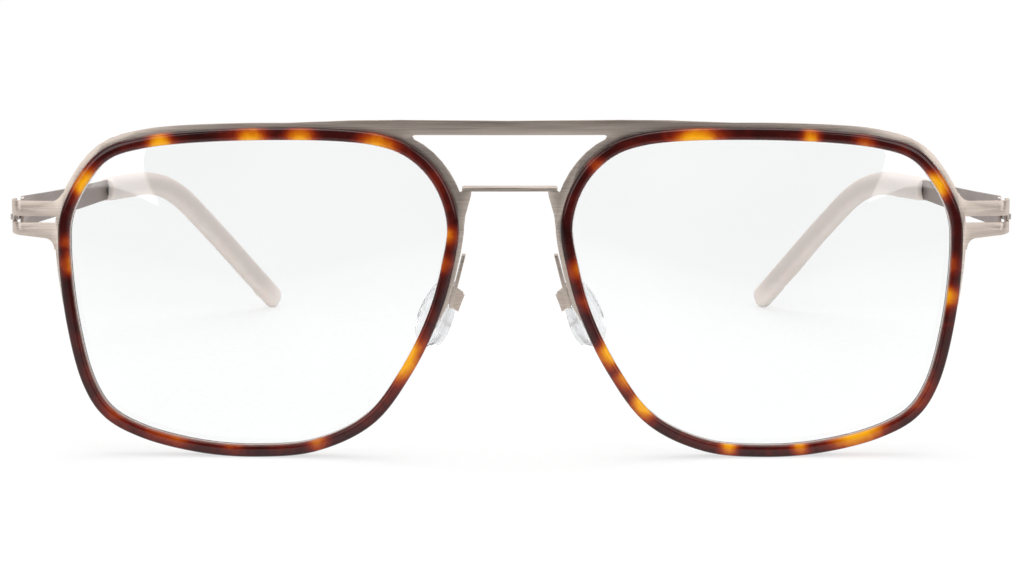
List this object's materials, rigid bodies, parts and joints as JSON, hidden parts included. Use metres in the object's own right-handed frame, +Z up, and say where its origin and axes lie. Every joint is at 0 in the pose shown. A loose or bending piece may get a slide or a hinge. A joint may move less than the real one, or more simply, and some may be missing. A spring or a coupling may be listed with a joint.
{
  "type": "half rim eyeglasses",
  "caption": "Eyeglasses with a sheet-metal half rim and double bridge, acetate rims, clear lenses, push-on nose pads and folding temples.",
  "frame": {"origin": "on the surface the open glasses stand on, under the middle of their box", "axes": "+X to the right seen from the front, across both lenses; +Y back along the open temples; +Z up"},
  "size_m": [0.1468, 0.1388, 0.0496],
  "materials": {
    "brushed_steel": "fine lengthwise brushing, satin",
    "tortoise_acetate": "polished tortoise acetate, dark red-brown with amber patches",
    "clear_lens": "clear, coated",
    "clear_silicone": "clear silicone, smooth",
    "milky_silicone": "milky translucent silicone, satin"
  },
  "bodies": {
    "front": {"front_sheet": "brushed_steel", "rim_right": "tortoise_acetate", "rim_left": "tortoise_acetate", "lens_right": "clear_lens", "lens_left": "clear_lens", "nose_pad_arm_right": "brushed_steel", "nose_pad_arm_left": "brushed_steel", "nose_pad_right": "clear_silicone", "nose_pad_left": "clear_silicone"},
    "temple_right": {"temple_right": "brushed_steel", "hinge_clip_right": "brushed_steel", "temple_tip_right": "milky_silicone"},
    "temple_left": {"temple_left": "brushed_steel", "hinge_clip_left": "brushed_steel", "temple_tip_left": "milky_silicone"}
  },
  "joints": [
    {"name": "fold_right", "type": "hinge", "parent": "front", "child": "temple_right", "pos_m": [0.07272, -0.06122, 0.03462], "axis": [0, 0, 1], "range_deg": [0, 78]},
    {"name": "fold_left", "type": "hinge", "parent": "front", "child": "temple_left", "pos_m": [-0.07272, -0.06122, 0.03462], "axis": [0, 0, -1], "range_deg": [0, 70]}
  ]
}
